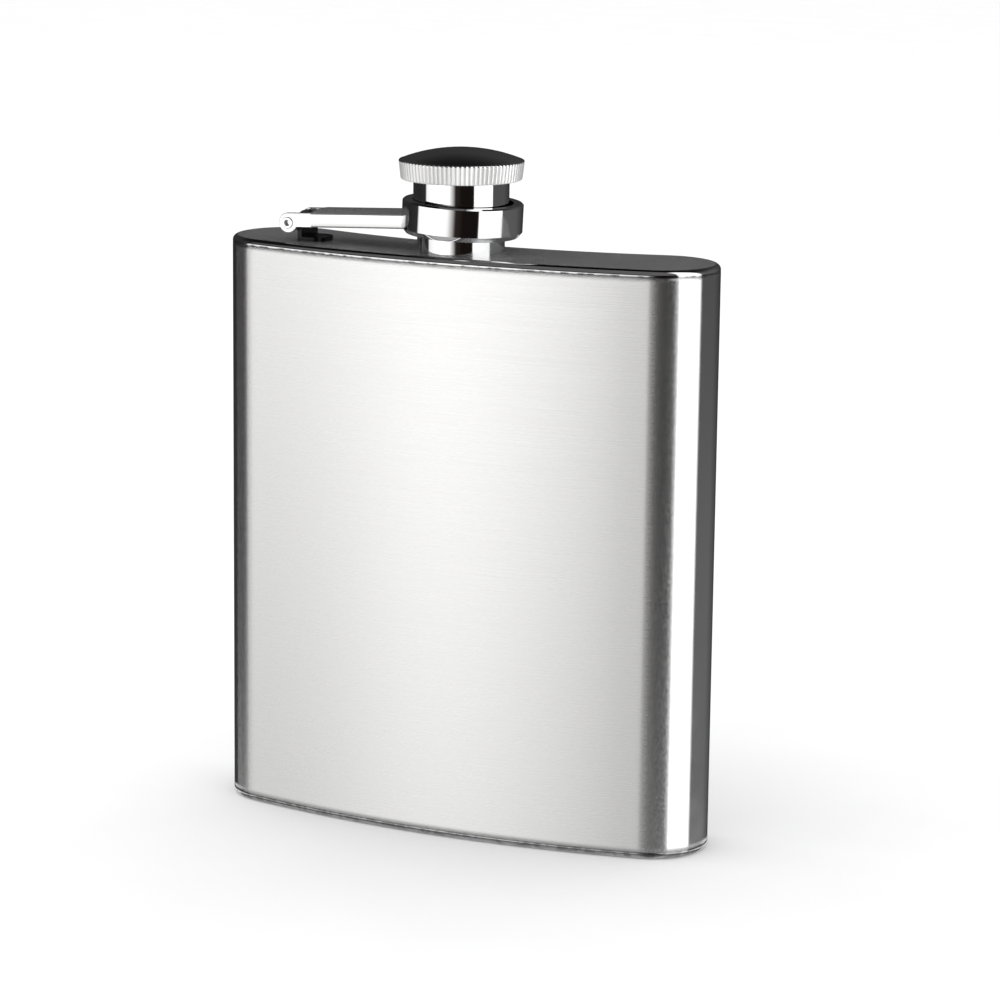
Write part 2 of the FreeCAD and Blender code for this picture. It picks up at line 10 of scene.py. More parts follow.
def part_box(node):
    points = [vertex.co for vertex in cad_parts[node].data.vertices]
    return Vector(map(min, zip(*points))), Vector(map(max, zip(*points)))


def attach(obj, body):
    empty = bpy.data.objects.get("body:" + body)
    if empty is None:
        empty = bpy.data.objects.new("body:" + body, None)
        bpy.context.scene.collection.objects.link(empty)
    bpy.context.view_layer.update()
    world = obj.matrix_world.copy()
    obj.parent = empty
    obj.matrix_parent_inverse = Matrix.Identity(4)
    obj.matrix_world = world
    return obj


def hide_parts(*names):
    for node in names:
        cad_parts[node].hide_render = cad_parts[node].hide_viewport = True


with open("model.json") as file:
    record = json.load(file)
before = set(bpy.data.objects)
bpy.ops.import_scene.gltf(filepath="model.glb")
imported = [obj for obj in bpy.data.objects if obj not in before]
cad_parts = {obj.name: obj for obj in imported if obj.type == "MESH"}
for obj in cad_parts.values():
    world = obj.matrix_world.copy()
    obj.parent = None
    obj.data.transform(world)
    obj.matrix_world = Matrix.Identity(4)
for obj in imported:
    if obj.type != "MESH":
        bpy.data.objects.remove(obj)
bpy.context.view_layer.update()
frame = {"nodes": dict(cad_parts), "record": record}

MM = 0.001

# Where the brushed finish ends: distance from the tips of the round ends
BRUSHED_FROM_TIP = 3.6 * MM
BRUSHED_FEATHER = 0.5 * MM
STRIP_HEIGHT = 0.5 * MM
# Where the brushing turns finer towards the ends, again from the tips
END_BLEND_FROM = 8.0 * MM
END_BLEND_TO = 5.0 * MM
# The frosted fringe beside the polished ends
FRINGE_FROM = 6.0 * MM
FRINGE_TO = 4.2 * MM
# How far the front's bend eases into the ends' bends
EASE_RADIUS = 1.2 * MM
EASE_SAMPLES = 6


# Roughness and how far it varies, for finishes that more than one material has
BUFFED = (0.09, 0.03)
FROSTED_KNURL = (0.33, 0.06)
POLISHED_TINT = (0.74, 0.74, 0.745, 1)
KNURL_TINT = (0.93, 0.93, 0.925, 1)
KNURL_METALLIC = 0.62
HAIRLINE_BUMP = 0.04
# How far under a plate's flat face its edge counts as buffed
EDGE_FROM = 0.004 * MM
EDGE_TO = 0.02 * MM
# How far the painted shade reaches from each seam, and how dark it is: at the top a dark weld
# line with painted shade in its crease, on the base painted shade over the rounded bottom edge
TOP_WELD_AND_SHADE_REACH, TOP_WELD_AND_SHADE_TINT = 0.45 * MM, 0.14
BASE_EDGE_SHADE_REACH, BASE_EDGE_SHADE_TINT = 1.8 * MM, 0.34


# ---- node helpers ----------------------------------------------------------------------

class Nodes:
    """Short-hand for building a node tree."""

    def __init__(self, tree, keep=False):
        self.tree = tree
        if not keep:
            tree.nodes.clear()

    def find(self, kind):
        return next(node for node in self.tree.nodes if node.type == kind)

    def add(self, kind, **settings):
        node = self.tree.nodes.new(kind)
        for name, value in settings.items():
            setattr(node, name, value)
        return node

    def link(self, source, target):
        self.tree.links.new(source, target)

    def feed(self, socket, value):
        """Give a socket a number, a colour or another node's output."""
        if isinstance(value, bpy.types.NodeSocket):
            self.link(value, socket)
        else:
            socket.default_value = value

    def math(self, operation, first, second=0.0, third=0.0):
        node = self.add("ShaderNodeMath", operation=operation)
        for socket, value in zip(node.inputs, (first, second, third)):
            self.feed(socket, value)
        return node.outputs[0]

    def smooth(self, value, low, high, out_low=0.0, out_high=1.0):
        """Soft step of a value from out_low to out_high."""
        node = self.add("ShaderNodeMapRange", interpolation_type="SMOOTHSTEP")
        ends = (value, low, high, out_low, out_high)
        for socket, end in zip(node.inputs, ends):
            self.feed(socket, end)
        return node.outputs["Result"]

    def ramp(self, value, stops):
        """Colour ramp; stops are (position, brightness or colour) pairs."""
        node = self.add("ShaderNodeValToRGB")
        band = node.color_ramp
        while len(band.elements) > 1:
            band.elements.remove(band.elements[-1])
        for i, (position, colour) in enumerate(stops):
            stop = band.elements[0] if i == 0 else band.elements.new(position)
            stop.position = position
            stop.color = (*colour, 1) if isinstance(colour, tuple) else (colour,) * 3 + (1,)
        self.feed(node.inputs["Fac"], value)
        return node.outputs["Color"]

    def noise(self, vector, scale, detail=3.0, roughness=0.5):
        node = self.add("ShaderNodeTexNoise")
        self.feed(node.inputs["Vector"], vector)
        node.inputs["Scale"].default_value = scale
        node.inputs["Detail"].default_value = detail
        node.inputs["Roughness"].default_value = roughness
        return node.outputs["Fac"]

    def stretched(self, vector, scale):
        """Coordinates multiplied by a different number along each axis."""
        node = self.add("ShaderNodeVectorMath", operation="MULTIPLY")
        self.feed(node.inputs[0], vector)
        node.inputs[1].default_value = scale
        return node.outputs[0]

    def mix_number(self, share, first, second):
        node = self.add("ShaderNodeMix", data_type="FLOAT")
        for socket, value in zip((node.inputs[0], node.inputs[2], node.inputs[3]),
                                 (share, first, second)):
            self.feed(socket, value)
        return node.outputs[0]

    def mix_colour(self, share, first, second):
        node = self.add("ShaderNodeMix", data_type="RGBA")
        for socket, value in zip((node.inputs[0], node.inputs[6], node.inputs[7]),
                                 (share, first, second)):
            self.feed(socket, value)
        return node.outputs[2]

    def bump(self, height, strength, distance, normal=None):
        node = self.add("ShaderNodeBump")
        node.inputs["Strength"].default_value = strength
        node.inputs["Distance"].default_value = distance
        self.feed(node.inputs["Height"], height)
        if normal is not None:
            self.link(normal, node.inputs["Normal"])
        return node.outputs["Normal"]


def coordinates(nodes, point):
    """X, Y and Z of a point, as three separate outputs."""
    split = nodes.add("ShaderNodeSeparateXYZ")
    nodes.link(point, split.inputs[0])
    return split.outputs


def overlay(nodes, shader, name, share, value):
    """Mix what feeds a socket of the shader with another number or colour."""
    before = shader.inputs[name].links[0].from_socket
    mix = nodes.mix_colour if name == "Base Color" else nodes.mix_number
    nodes.link(mix(share, before, value), shader.inputs[name])


def eased_normal(nodes, radius):
    """Surface normals averaged over a small radius, where one bend runs into another."""
    node = nodes.add("ShaderNodeBevel", samples=EASE_SAMPLES)
    node.inputs["Radius"].default_value = radius
    return node.outputs["Normal"]


def new_material(name):
    """A material with an empty tree, its Principled shader and its output."""
    material = bpy.data.materials.new(name)
    material.use_nodes = True
    nodes = Nodes(material.node_tree)
    shader = nodes.add("ShaderNodeBsdfPrincipled")
    output = nodes.add("ShaderNodeOutputMaterial")
    nodes.link(shader.outputs[0], output.inputs["Surface"])
    return material, nodes, shader


def object_point(nodes):
    return nodes.add("ShaderNodeTexCoord").outputs["Object"]


# ---- materials -------------------------------------------------------------------------

def shifted(nodes, point, seed):
    """Coordinates moved away from another material's, so that no two share a pattern."""
    moved = nodes.add("ShaderNodeVectorMath", operation="ADD")
    nodes.link(point, moved.inputs[0])
    moved.inputs[1].default_value = (seed, seed * 0.7, seed * 0.3)
    return moved.outputs[0]


def haze(nodes, point, base, spread):
    """Roughness of worked steel: fine haze with a few duller smears."""
    fine = nodes.noise(point, 160.0, 5.0, 0.6)
    smear = nodes.noise(nodes.stretched(point, (60, 60, 25)), 1.0, 2.0)
    both = nodes.math("MULTIPLY_ADD", fine, 0.6, nodes.math("MULTIPLY", smear, 0.4))
    return nodes.smooth(both, 0.35, 0.7, base - spread, base + spread)


def steel(name, tint, roughness, spread, seed, metallic=1.0, pits=0.0):
    """Bare stainless steel with faint hairlines; pits add the mottle of pressed sheet."""
    material, nodes, shader = new_material(name)
    point = shifted(nodes, object_point(nodes), seed)
    shader.inputs["Metallic"].default_value = metallic
    lines = nodes.noise(nodes.stretched(point, (90, 90, 2600)), 1.0, 3.0, 0.6)
    cloud = nodes.noise(point, 90.0, 3.0)
    shade = nodes.ramp(cloud, [(0.3, tuple(0.93 * c for c in tint)), (0.7, tint)])
    nodes.link(shade, shader.inputs["Base Color"])
    nodes.link(haze(nodes, point, roughness, spread), shader.inputs["Roughness"])
    normal = nodes.bump(lines, HAIRLINE_BUMP, 0.01 * MM)
    if pits:
        mottle = nodes.noise(point, 1400.0, 4.0, 0.65)
        normal = nodes.bump(mottle, pits, 0.03 * MM, normal)
    nodes.link(normal, shader.inputs["Normal"])
    return material


def brushed_body():
    """Shell steel: brushed along the width, polished round the ends and under the top weld."""
    material, nodes, shader = new_material("body_steel_brushed")
    point = object_point(nodes)
    x, y, z = coordinates(nodes, point)
    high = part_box("body_shell")[1]
    from_middle = nodes.math("ABSOLUTE", x)

    ragged = nodes.noise(nodes.stretched(point, (40, 40, 1500)), 1.0, 3.0)
    past = nodes.math("SUBTRACT", from_middle, high.x - BRUSHED_FROM_TIP)
    past = nodes.math("MULTIPLY_ADD", ragged, BRUSHED_FEATHER, past)
    ends = nodes.smooth(past, 0.0, BRUSHED_FEATHER)
    strip = nodes.smooth(z, high.z - STRIP_HEIGHT, high.z - 0.6 * STRIP_HEIGHT)
    polished = nodes.math("MAXIMUM", ends, strip)

    # grain: hairlines along X in two lengths
    long_grain = nodes.noise(nodes.stretched(point, (26, 26, 11000)), 1.0, 4.0, 0.75)
    short_grain = nodes.noise(nodes.stretched(point, (130, 130, 16000)), 1.0, 3.0, 0.75)
    grain = nodes.math("MULTIPLY_ADD", long_grain, 0.5,
                       nodes.math("MULTIPLY", short_grain, 0.5))
    shade = nodes.ramp(grain, [(0.34, (0.775, 0.775, 0.771)), (0.50, (0.80, 0.80, 0.796)),
                               (0.66, (0.825, 0.825, 0.821))])
    towards_end = nodes.smooth(from_middle, high.x - END_BLEND_FROM, high.x - END_BLEND_TO)
    speckle = nodes.noise(nodes.stretched(point, (2600, 2600, 1500)), 1.0, 2.0, 0.5)
    speckled = nodes.ramp(speckle, [(0.36, 0.68), (0.50, 0.76), (0.64, 0.85)])
    shade = nodes.mix_colour(towards_end, shade, speckled)
    nodes.link(nodes.mix_colour(polished, shade, POLISHED_TINT), shader.inputs["Base Color"])
    nodes.link(nodes.mix_number(polished, 0.95, 1.0), shader.inputs["Metallic"])
    shader.inputs["Anisotropic"].default_value = 0.45
    shader.inputs["Anisotropic Rotation"].default_value = 0.25
    round_z = nodes.add("ShaderNodeTangent", direction_type="RADIAL", axis="Z")
    nodes.link(round_z.outputs[0], shader.inputs["Tangent"])
    face_dull = nodes.smooth(grain, 0.35, 0.65, 0.26, 0.32)
    end_dull = nodes.smooth(nodes.noise(point, 4200.0, 4.0, 0.7), 0.35, 0.65, 0.13, 0.20)
    fringe = nodes.smooth(from_middle, high.x - FRINGE_FROM, high.x - FRINGE_TO)
    frosted = nodes.smooth(speckle, 0.30, 0.70, 0.21, 0.25)
    end_dull = nodes.mix_number(fringe, end_dull, frosted)
    dull = nodes.mix_number(towards_end, face_dull, end_dull)
    bright = haze(nodes, shifted(nodes, point, 3.0), *BUFFED)
    nodes.link(nodes.mix_number(polished, dull, bright), shader.inputs["Roughness"])
    depth = nodes.math("MULTIPLY", grain, nodes.math("SUBTRACT", 1.0, polished))
    eased = eased_normal(nodes, EASE_RADIUS)
    nodes.link(nodes.bump(depth, 0.022, 0.015 * MM, eased), shader.inputs["Normal"])
    return material


def plate(name, face_z, seam_z, seam_shade_reach, seam_shade_tint):
    """Pressed plate: satin on the flat face, buffed on the rounded edge down to the weld, with
    painted shade along the seam.
    """
    material = steel(name, (0.74, 0.74, 0.75), 0.24, 0.05, 5.0, pits=0.12)
    nodes = Nodes(material.node_tree, keep=True)
    shader = nodes.find("BSDF_PRINCIPLED")
    point = object_point(nodes)
    z = coordinates(nodes, point)[2]
    below = nodes.math("ABSOLUTE", nodes.math("SUBTRACT", z, face_z))
    edge = nodes.smooth(below, EDGE_FROM, EDGE_TO)
    overlay(nodes, shader, "Roughness", edge, haze(nodes, shifted(nodes, point, 6.0), *BUFFED))
    nodes.link(nodes.mix_number(edge, 0.84, 1.0), shader.inputs["Metallic"])
    # painted shade along the seam, in blotches: at the top a dark weld line with painted shade
    # in its crease, on the base painted shade over the rounded bottom edge
    outward = nodes.math("ABSOLUTE", nodes.math("SUBTRACT", z, seam_z))
    near_seam_shade = nodes.smooth(outward, seam_shade_reach, 0.3 * seam_shade_reach)
    blotch = nodes.smooth(nodes.noise(shifted(nodes, point, 8.0), 700.0, 3.0),
                          0.38, 0.58, 1.0, 0.35)
    dark = nodes.mix_number(near_seam_shade, 0.0, blotch)
    overlay(nodes, shader, "Base Color", dark, (seam_shade_tint,) * 3 + (1,))
    return material


def knurled_head():
    """Cap head: mirror-like dome, and a frosted finish on the knurled rim."""
    material = steel("cap_head_polished", (0.80, 0.80, 0.80), 0.06, 0.02, 13.0)
    nodes = Nodes(material.node_tree, keep=True)
    shader = nodes.find("BSDF_PRINCIPLED")
    point = object_point(nodes)
    rim_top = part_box("cap_head")[0].z + (RIM_HEIGHT - RIM_ROUND) * MM
    rim = nodes.smooth(coordinates(nodes, point)[2], rim_top + 0.1 * MM, rim_top - 0.1 * MM)
    overlay(nodes, shader, "Roughness", rim,
            haze(nodes, shifted(nodes, point, 14.0), *FROSTED_KNURL))
    nodes.link(nodes.mix_number(rim, 1.0, KNURL_METALLIC), shader.inputs["Metallic"])
    overlay(nodes, shader, "Base Color", rim, KNURL_TINT)
    return material


def silicone():
    """Translucent white food-grade silicone with a soft sheen."""
    material, nodes, shader = new_material("seal_silicone_white")
    point = object_point(nodes)
    cloud = nodes.noise(point, 400.0, 4.0)
    nodes.link(nodes.ramp(cloud, [(0.3, (0.80, 0.80, 0.77)), (0.7, (0.88, 0.88, 0.86))]),
               shader.inputs["Base Color"])
    nodes.link(nodes.smooth(cloud, 0.3, 0.7, 0.42, 0.56), shader.inputs["Roughness"])
    shader.inputs["Subsurface Weight"].default_value = 0.25
    shader.inputs["Subsurface Radius"].default_value = (1.0, 0.9, 0.8)
    shader.inputs["Subsurface Scale"].default_value = 0.8 * MM
    nodes.link(nodes.bump(cloud, 0.15, 0.03 * MM), shader.inputs["Normal"])
    return material


def make_materials():
    """Materials by slot; the two plates and the knurled head get their own later."""
    return {
        "body_steel": brushed_body(),
        "neck_steel": steel("neck_steel_polished", (0.78, 0.78, 0.78), 0.07, 0.02, 7.0,
                            pits=0.05),
        # the bracket's nearly black tint is painted shade: its steel is darkened to stand for
        # the shade it sits in below the arm
        "bracket_steel": steel("bracket_steel_painted_shade", (0.025, 0.025, 0.026), 0.30, 0.06, 8.0,
                               pits=0.25),
        "hinge_steel": steel("hinge_steel_polished", (0.79, 0.79, 0.79), 0.15, 0.04, 9.0,
                             metallic=0.86, pits=0.06),
        "ring_steel": steel("ring_steel_polished", (0.80, 0.80, 0.80), 0.06, 0.02, 11.0),
        "cap_steel": steel("cap_steel_polished", (0.80, 0.80, 0.80), 0.06, 0.02, 13.0),
        "seal_silicone": silicone(),
    }


def slot_of():
    """Material slot of each CAD node, from the record."""
    return {part["node"]: part["material_slot"] for part in frame["record"]["subparts"]}


# ---- replacement pieces ----------------------------------------------------------------

SHARP_ANGLE = math.radians(35)
ARC_STEPS = 5


def add_piece(name, points, faces, node, material):
    """Mesh object that stands for a CAD node: it rides on that node's body."""
    mesh = bpy.data.meshes.new(name)
    mesh.from_pydata(points, [], faces)
    shape = bmesh.new()
    shape.from_mesh(mesh)
    bmesh.ops.recalc_face_normals(shape, faces=shape.faces)
    shape.to_mesh(mesh)
    shape.free()
    mesh.shade_smooth()
    mesh.set_sharp_from_angle(angle=SHARP_ANGLE)
    mesh.materials.append(material)
    piece = bpy.data.objects.new(name, mesh)
    bpy.context.scene.collection.objects.link(piece)
    body = next(b for b, members in frame["record"]["behaviour"]["bodies"].items()
                if node in members)
    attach(piece, body)
    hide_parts(node)
    return piece


def arc_points(centre, start, stop, steps=ARC_STEPS):
    """Points from start to stop round the centre, both ends included."""
    first, last = start - centre, stop - centre
    sweep = first.angle(last)
    return [centre + (math.sin((1 - i / steps) * sweep) * first
                      + math.sin(i / steps * sweep) * last) / math.sin(sweep)
            for i in range(steps + 1)]


def soften(corners, closed):
    """Outline with each corner (x, y, radius) turned into an arc of that radius."""
    count, points = len(corners), []
    for i, (x, y, radius) in enumerate(corners):
        here = Vector((x, y))
        if radius == 0 or (not closed and i in (0, count - 1)):
            points.append(here)
            continue
        before = (Vector(corners[i - 1][:2]) - here).normalized()
        after = (Vector(corners[(i + 1) % count][:2]) - here).normalized()
        half = before.angle(after) / 2
        reach = radius / math.tan(half)
        centre = here + (before + after).normalized() * radius / math.sin(half)
        points += arc_points(centre, here + before * reach, here + after * reach)
    return points


# Knurled head, millimetres
KNURL_TEETH = 80
KNURL_STEPS = 12
KNURL_DEPTH = 0.14
RIM_HEIGHT = 3.46
RIM_TAPER = 0.42
RIM_ROUND = 0.28
HEAD_WALL = 0.7
DOME_RINGS = 14


def dome_profile(radius, rim_z, top_z):
    """Shallow dome from the axis out to its rim, as (radius, height) points."""
    sagitta = top_z - rim_z
    ball = (radius ** 2 + sagitta ** 2) / (2 * sagitta)
    spread = math.asin(radius / ball)
    return [Vector((ball * math.sin(spread * i / DOME_RINGS),
                    top_z - ball + ball * math.cos(spread * i / DOME_RINGS)))
            for i in range(DOME_RINGS + 1)]


def cap_head(material):
    """Domed head with rounded knurl teeth round a rim that narrows downwards."""
    low, high = (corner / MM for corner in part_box("cap_head"))
    middle = (low + high) / 2
    radius = (high.x - low.x) / 2
    rim_top = low.z + RIM_HEIGHT
    foot = radius - RIM_TAPER
    shoulder = radius - RIM_ROUND

    outer = dome_profile(shoulder, rim_top, high.z)
    rim = soften([(0, rim_top, 0), (radius, rim_top, RIM_ROUND), (foot, low.z, RIM_ROUND),
                  (foot - 2 * HEAD_WALL, low.z, 0)], closed=False)[1:-1]
    inner_rim = [Vector((foot - RIM_ROUND - HEAD_WALL, low.z)),
                 Vector((shoulder - HEAD_WALL, rim_top - HEAD_WALL))]
    inner = dome_profile(shoulder - HEAD_WALL, rim_top - HEAD_WALL, high.z - HEAD_WALL)
    levels = 6
    wall = []
    top_arc, bottom_arc = rim[:ARC_STEPS + 1], rim[ARC_STEPS + 1:]
    for i in range(1, levels):
        wall.append(top_arc[-1].lerp(bottom_arc[0], i / levels))
    cut = top_arc + wall + bottom_arc
    path = outer[1:-1] + cut + inner_rim + inner[1:-1][::-1]
    first_cut, last_cut = len(outer) - 2, len(outer) - 2 + len(cut) - 1

    segments = KNURL_TEETH * KNURL_STEPS
    slope = (radius - foot) / RIM_HEIGHT
    points = []
    for index, (r, z) in enumerate(path):
        crest = radius - (rim_top - z) * slope
        for s in range(segments):
            angle = 2 * math.pi * s / segments
            here = r
            if first_cut <= index <= last_cut:
                groove = 1 - abs(math.sin(math.pi * s / KNURL_STEPS))
                here = min(r, crest - KNURL_DEPTH * groove)
            points.append((middle.x + here * math.cos(angle),
                           middle.y + here * math.sin(angle), z))
    faces = []
    for ring in range(len(path) - 1):
        for s in range(segments):
            here, after = ring * segments + s, ring * segments + (s + 1) % segments
            faces.append((here, here + segments, after + segments, after))
    top, under = len(points), len(points) + 1
    points += [(middle.x, middle.y, high.z), (middle.x, middle.y, high.z - HEAD_WALL)]
    last = (len(path) - 1) * segments
    for s in range(segments):
        after = (s + 1) % segments
        faces.append((top, s, after))
        faces.append((under, last + after, last + s))
    scaled = [Vector(p) * MM for p in points]
    add_piece("cap_head_knurled", scaled, faces, "cap_head", material)


# Captive arm, millimetres; heights are measured from the pin across the arm
ARM_SHEET = 0.7
ARM_DROP = 0.8
ARM_RISE = math.radians(3.0)
WEB_START = 4.7
WEB_CROWN = 0.45
OUTER_BEND = 0.3
INNER_BEND = 0.25
LOWER_ROUND = 0.33
EAR_BEVEL = 0.12
INTO_RING = 0.4
HOLE_RADIUS = 0.8
CIRCLE_STEPS = 24


def channel_section(half_width, top):
    """Cross-section of the arm: an upturned U of bent sheet with a crowned web."""
    inside = half_width - ARM_SHEET
    outline = soften([
        (-half_width, -ARM_DROP, LOWER_ROUND), (-half_width, top, OUTER_BEND),
        (half_width, top, OUTER_BEND), (half_width, -ARM_DROP, LOWER_ROUND),
        (inside, -ARM_DROP, LOWER_ROUND), (inside, top - ARM_SHEET, INNER_BEND),
        (-inside, top - ARM_SHEET, INNER_BEND), (-inside, -ARM_DROP, LOWER_ROUND),
    ], closed=True)
    # extra points across the web, so that the crown is a curve
    dense = []
    for i, point in enumerate(outline):
        after = outline[(i + 1) % len(outline)]
        pieces = 8 if abs(after.x - point.x) > half_width else 1
        dense += [point.lerp(after, k / pieces) for k in range(pieces)]
    high = top - OUTER_BEND
    for point in dense:
        if point.y > high:
            point.y += WEB_CROWN * (1 - (point.x / half_width) ** 2)
    return dense


def disc_with_hole(outer, hole):
    """Triangles between an outline and a hole, as indices into outer + hole."""
    loops = [[Vector((p.x, p.y, 0)) for p in outer], [Vector((p.x, p.y, 0)) for p in hole]]
    return tessellate_polygon(loops)


def side_plate(outline, hole, low_y, high_y, square_from):
    """Flat sheet with bevelled edges and a hole; square_from is where its end stays square."""
    count = len(outline)
    inset = []
    for i, point in enumerate(outline):
        along = (outline[(i + 1) % count] - outline[i - 1]).normalized()
        inner = point + Vector((-along.y, along.x)) * EAR_BEVEL
        if point.x > square_from:
            inner.x = point.x
        inset.append(inner)
    levels = [(inset, low_y), (outline, low_y + EAR_BEVEL), (outline, high_y - EAR_BEVEL),
              (inset, high_y)]
    points = [(p.x, y, p.y) for loop, y in levels for p in loop]
    faces = []
    for level in range(len(levels) - 1):
        for i in range(count):
            a, b = level * count + i, level * count + (i + 1) % count
            faces.append((a, b, b + count, a + count))
    hole_at = len(points)
    points += [(p.x, y, p.y) for y in (low_y, high_y) for p in hole]
    size = len(hole)
    for i in range(size):
        a, b = hole_at + i, hole_at + (i + 1) % size
        faces.append((b, a, a + size, b + size))
    for triangle in disc_with_hole(inset, hole):
        low = [v if v < count else hole_at + v - count for v in triangle]
        high = [3 * count + v if v < count else hole_at + size + v - count for v in triangle]
        faces += [tuple(low), tuple(high)]
    return points, faces


def ear_outline(radius):
    """Round ear that runs straight into the side of the channel, anticlockwise."""
    leave = -math.asin(ARM_DROP / radius)
    start, sweep = math.pi / 2, 1.5 * math.pi + leave
    points = [Vector((radius * math.cos(start + sweep * i / CIRCLE_STEPS),
                      radius * math.sin(start + sweep * i / CIRCLE_STEPS)))
              for i in range(CIRCLE_STEPS + 1)]
    return points + [Vector((WEB_START, -ARM_DROP)), Vector((WEB_START, radius))]


def captive_arm(material):
    """Stamped channel with rounded bends, joined to the ring, and two flat ears."""
    low, high = (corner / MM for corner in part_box("captive_arm"))
    pin = Vector(next(j["pos_m"] for j in frame["record"]["behaviour"]["joints"]
                      if j["name"] == "arm_hinge")) / MM
    half_width, radius = (high.y - low.y) / 2, pin.x - low.x
    ring_low, ring_high = (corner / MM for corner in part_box("captive_ring"))
    ring_x, ring_radius = (ring_low.x + ring_high.x) / 2, (ring_high.y - ring_low.y) / 2

    section = channel_section(half_width, radius)
    count = len(section)
    points = [(WEB_START, p.x, p.y) for p in section]
    reach = ring_radius - INTO_RING
    for p in section:
        meets = ring_x - math.sqrt(reach ** 2 - p.x ** 2) - pin.x
        points.append((meets / math.cos(ARM_RISE), p.x, p.y))
    faces = [(i, (i + 1) % count, count + (i + 1) % count, count + i) for i in range(count)]
    for offset in (0, count):
        loop = [Vector((p.x, p.y, 0)) for p in section]
        faces += [tuple(offset + v for v in triangle) for triangle in tessellate_polygon([loop])]

    hole = [Vector((HOLE_RADIUS * math.cos(2 * math.pi * i / CIRCLE_STEPS),
                    HOLE_RADIUS * math.sin(2 * math.pi * i / CIRCLE_STEPS)))
            for i in range(CIRCLE_STEPS)]
    for side_low in (-half_width, half_width - ARM_SHEET):
        more, more_faces = side_plate(ear_outline(radius), hole, side_low,
                                      side_low + ARM_SHEET, WEB_START - EAR_BEVEL)
        start = len(points)
        points += more
        faces += [tuple(start + v for v in face) for face in more_faces]
    lean = Matrix.Rotation(-ARM_RISE, 4, "Y")
    placed = [(pin + lean @ Vector(p)) * MM for p in points]
    add_piece("captive_arm_channel", placed, faces, "captive_arm", material)


# ---- studio ----------------------------------------------------------------------------

# Azimuths are degrees from the front (-Y) towards +X; heights are degrees over the horizon.
# Each patch of the studio is (across, up, colour): brightness stops over azimuth and height.
TABLE = ([(-180, 0.95), (-75, 0.90), (-55, 0.65), (-20, 0.75), (5, 0.85), (12, 0.40),
          (52, 0.40), (60, 0.95), (180, 0.95)],
         [(-90, 0.55), (-50, 0.50), (-36, 0.12), (-32, 0.12), (-27, 1.0), (-19.2, 1.0),
          (-17.7, 0.0)], (1.0, 1.0, 1.0))
LEFT_PANEL = ([(-69, 0.0), (-65, 1.05), (-48, 1.20), (-25, 1.50), (-10, 1.30), (-3, 1.18),
               (12, 0.0)],
              [(-20.2, 0.0), (-18.6, 0.38), (-15, 0.56), (-11, 0.85), (-8, 1.10), (-3, 1.35),
               (6, 1.35), (9, 0.0)], (1.0, 0.995, 0.985))
CENTRE_GLOW = ([(-44, 0.0), (-28, 1.0), (-20, 1.0), (-6, 0.0)],
               [(-20.2, 0.0), (-18.6, 0.42), (-13, 0.30), (-8, 0.12), (-3, 0.0)],
               (1.0, 0.99, 0.95))
LEFT_HIGH = ([(-69, 0.0), (-60, 1.0), (50, 1.0), (57, 0.0)],
             [(18, 0.0), (24, 1.0), (90, 1.0)], (0.14, 0.14, 0.14))
RIGHT_PANEL = ([(56, 0.0), (58, 1.0), (106, 1.0), (108, 0.0)],
               [(-20.2, 0.0), (-18.6, 1.0), (74, 1.0), (80, 0.0)], (1.7, 1.7, 1.7))
DARK_WALL = ([(4, 0.0), (7, 1.0), (20, 0.7), (26, 0.3), (57, 0.3), (60, 0.0)],
             [(-20.2, 0.0), (-18.6, 1.0), (40, 1.0), (60, 0.0)], (0.032, 0.025, 0.022))
BACK_WALLS = ([(-180, 0.8), (-150, 0.5), (-90, 0.45), (-72, 0.6), (-67, 0.0), (106, 0.0),
               (110, 1.7), (150, 1.7), (180, 0.8)],
              [(-20.2, 0.0), (-18.6, 0.11), (-12, 0.085), (-8, 0.055), (0, 0.06), (10, 0.075),
               (25, 0.075), (40, 0.03), (55, 0.004)], (1.0, 1.0, 1.0))


def studio_world():
    """White table, two softboxes and dim walls in the reflections; plain soft fill light."""
    world = bpy.data.worlds.new("studio")
    bpy.context.scene.world = world
    world.use_nodes = True
    nodes = Nodes(world.node_tree)
    way = nodes.add("ShaderNodeSeparateXYZ")
    nodes.link(nodes.add("ShaderNodeTexCoord").outputs["Generated"], way.inputs[0])
    x, y, z = way.outputs
    angle = nodes.math("ARCTAN2", x, nodes.math("MULTIPLY", y, -1.0))
    azimuth = nodes.math("MULTIPLY_ADD", angle, 0.5 / math.pi, 0.5)
    height = nodes.math("MULTIPLY_ADD", nodes.math("ARCSINE", z), 1 / math.pi, 0.5)

    def vector(operation, first, second):
        node = nodes.add("ShaderNodeVectorMath", operation=operation)
        for socket, value in zip(node.inputs, (first, second)):
            nodes.feed(socket, value)
        return node.outputs[0]

    studio = (0.0, 0.0, 0.0)
    for across, up, colour in (TABLE, LEFT_PANEL, CENTRE_GLOW, LEFT_HIGH, RIGHT_PANEL,
                               DARK_WALL, BACK_WALLS):
        sideways = nodes.ramp(azimuth, [(d / 360 + 0.5, level) for d, level in across])
        upwards = nodes.ramp(height, [(d / 180 + 0.5, level) for d, level in up])
        patch = vector("MULTIPLY", vector("MULTIPLY", sideways, upwards), colour)
        studio = vector("ADD", patch, studio)
    path = nodes.add("ShaderNodeLightPath")
    fill = nodes.mix_colour(path.outputs["Is Diffuse Ray"], studio, (1.0, 1.0, 1.0, 1))
    seen = nodes.mix_colour(path.outputs["Is Camera Ray"], fill, (1.0, 1.0, 1.0, 1))
    light = nodes.add("ShaderNodeBackground")
    nodes.link(seen, light.inputs["Color"])
    output = nodes.add("ShaderNodeOutputWorld")
    nodes.link(light.outputs[0], output.inputs["Surface"])


FLOOR_HALF = 3.0


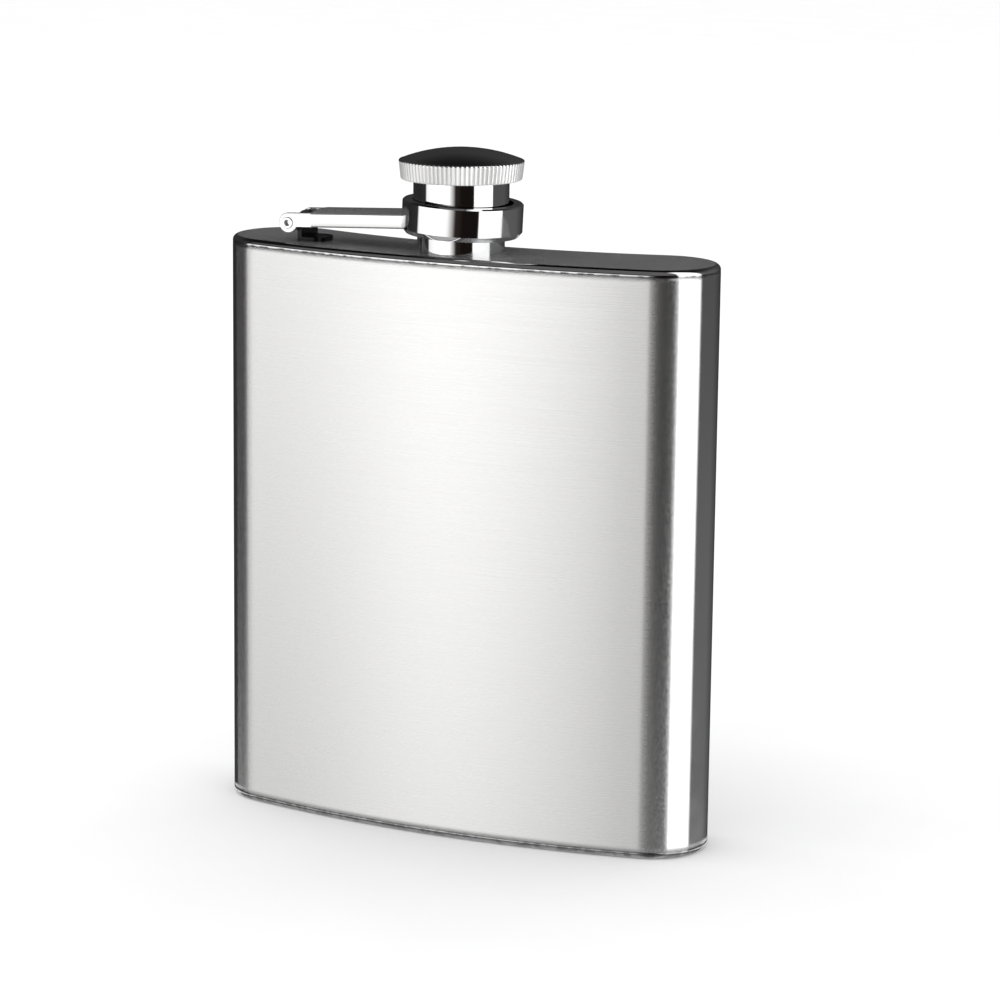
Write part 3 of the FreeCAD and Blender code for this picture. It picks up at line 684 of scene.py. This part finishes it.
def floor():
    """Plain pale floor; the steel mirrors the studio's table instead of it."""
    mesh = bpy.data.meshes.new("floor")
    corners = [(-FLOOR_HALF, -FLOOR_HALF, 0), (FLOOR_HALF, -FLOOR_HALF, 0),
               (FLOOR_HALF, FLOOR_HALF, 0), (-FLOOR_HALF, FLOOR_HALF, 0)]
    mesh.from_pydata(corners, [], [(0, 1, 2, 3)])
    plane = bpy.data.objects.new("floor", mesh)
    bpy.context.scene.collection.objects.link(plane)
    material, nodes, shader = new_material("floor_pale")
    speck = nodes.noise(object_point(nodes), 30.0, 4.0)
    nodes.link(nodes.ramp(speck, [(0.3, 0.93), (0.7, 0.95)]), shader.inputs["Base Color"])
    shader.inputs["Roughness"].default_value = 0.9
    shader.inputs["Specular IOR Level"].default_value = 0.0
    plane.visible_glossy = False
    mesh.materials.append(material)


def soft_lamp():
    """Large soft lamp high on the hinge side, which the steel doesn't mirror."""
    lamp = bpy.data.lights.new("soft_lamp", "AREA")
    lamp.shape = "RECTANGLE"
    lamp.size, lamp.size_y = 1.2, 0.8
    lamp.energy = 4.0
    place = bpy.data.objects.new("soft_lamp", lamp)
    place.location = (-0.7, -0.2, 1.3)
    aim = Vector((0, 0, 0)) - place.location
    place.rotation_euler = aim.to_track_quat("-Z", "Y").to_euler()
    place.visible_glossy = False
    bpy.context.scene.collection.objects.link(place)


def camera():
    """Long lens a little above the cap, to the right of the flask's front."""
    azimuth, elevation, roll = (math.radians(v) for v in (25.34, 11.77, 0.68))
    distance = 0.6474
    target = Vector((8.31, -2.41, 61.84)) * MM
    back = Vector((math.sin(azimuth) * math.cos(elevation),
                   -math.cos(azimuth) * math.cos(elevation), math.sin(elevation)))
    right = Vector((0, 0, 1)).cross(back).normalized()
    above = back.cross(right)
    axes = Matrix((right, above, back)).transposed().to_4x4()
    lens = bpy.data.cameras.new("camera")
    lens.sensor_width = 36.0
    lens.lens = 131.0
    lens.shift_y = -0.0063
    place = bpy.data.objects.new("camera", lens)
    place.matrix_world = (Matrix.Translation(target + back * distance) @ axes
                          @ Matrix.Rotation(roll, 4, "Z"))
    bpy.context.scene.collection.objects.link(place)
    bpy.context.scene.camera = place


materials = make_materials()
top_low, top_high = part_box("top_plate")
base_low, base_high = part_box("base_plate")
# the base plate's dark rounded edge is painted shade; the top plate's dark seam is a weld line
# with painted shade in its crease
own_material = {
    "top_plate": plate("top_plate_satin", top_high.z, top_low.z, TOP_WELD_AND_SHADE_REACH,
                       TOP_WELD_AND_SHADE_TINT),
    "base_plate": plate("base_plate_satin", base_low.z, base_high.z, BASE_EDGE_SHADE_REACH,
                        BASE_EDGE_SHADE_TINT),
}
for node, slot_name in slot_of().items():
    for slot in frame["nodes"][node].material_slots:
        slot.material = own_material.get(node) or materials[slot_name]
cap_head(knurled_head())
captive_arm(materials["hinge_steel"])
studio_world()
floor()
soft_lamp()
camera()
bpy.context.scene.view_settings.view_transform = "Standard"
